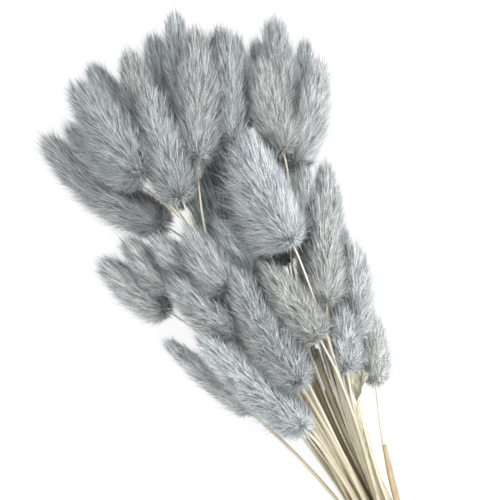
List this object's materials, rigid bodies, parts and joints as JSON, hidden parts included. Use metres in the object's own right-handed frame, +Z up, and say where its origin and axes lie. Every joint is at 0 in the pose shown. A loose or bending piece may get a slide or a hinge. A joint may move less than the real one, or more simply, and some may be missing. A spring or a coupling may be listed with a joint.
{
  "type": "dried bunny tail grass",
  "caption": "Tied bunch of dried bunny tail grass lying down, with soft egg-shaped blue-grey seed heads on thin straw stems, a rolled dry leaf and a raffia tie.",
  "frame": {"origin": "centre of the bounding box's base, on the surface that the bunch lies on", "axes": "+Z up from the surface, +Y along the bunch from the cut ends to the heads, +X across it"},
  "size_m": [0.1404, 0.4082, 0.0675],
  "materials": {
    "fur": "matte, soft fur",
    "straw": "satin, dry straw",
    "raffia": "matte, fibrous",
    "leaf": "matte, papery"
  },
  "bodies": {
    "root": {"head_01": "fur", "head_02": "fur", "head_03": "fur", "head_04": "fur", "head_05": "fur", "head_06": "fur", "head_07": "fur", "head_08": "fur", "head_09": "fur", "head_10": "fur", "head_11": "fur", "head_12": "fur", "head_13": "fur", "head_14": "fur", "head_15": "fur", "head_16": "fur", "head_17": "fur", "head_18": "fur", "head_19": "fur", "head_20": "fur", "head_21": "fur", "head_22": "fur", "head_23": "fur", "head_24": "fur", "head_25": "fur", "head_26": "fur", "head_27": "fur", "head_28": "fur", "head_29": "fur", "head_30": "fur", "head_31": "fur", "head_32": "fur", "head_33": "fur", "head_34": "fur", "head_35": "fur", "head_36": "fur", "head_37": "fur", "head_38": "fur", "head_39": "fur", "head_40": "fur", "head_41": "fur", "head_42": "fur", "head_43": "fur", "head_44": "fur", "head_45": "fur", "head_46": "fur", "stems_01": "straw", "stems_02": "straw", "stems_03": "straw", "stems_04": "straw", "stems_05": "straw", "stems_06": "straw", "stems_07": "straw", "stems_08": "straw", "stems_09": "straw", "stems_10": "straw", "stems_11": "straw", "stems_12": "straw", "raffia_tie": "raffia", "flag_leaf": "leaf"}
  },
  "joints": []
}
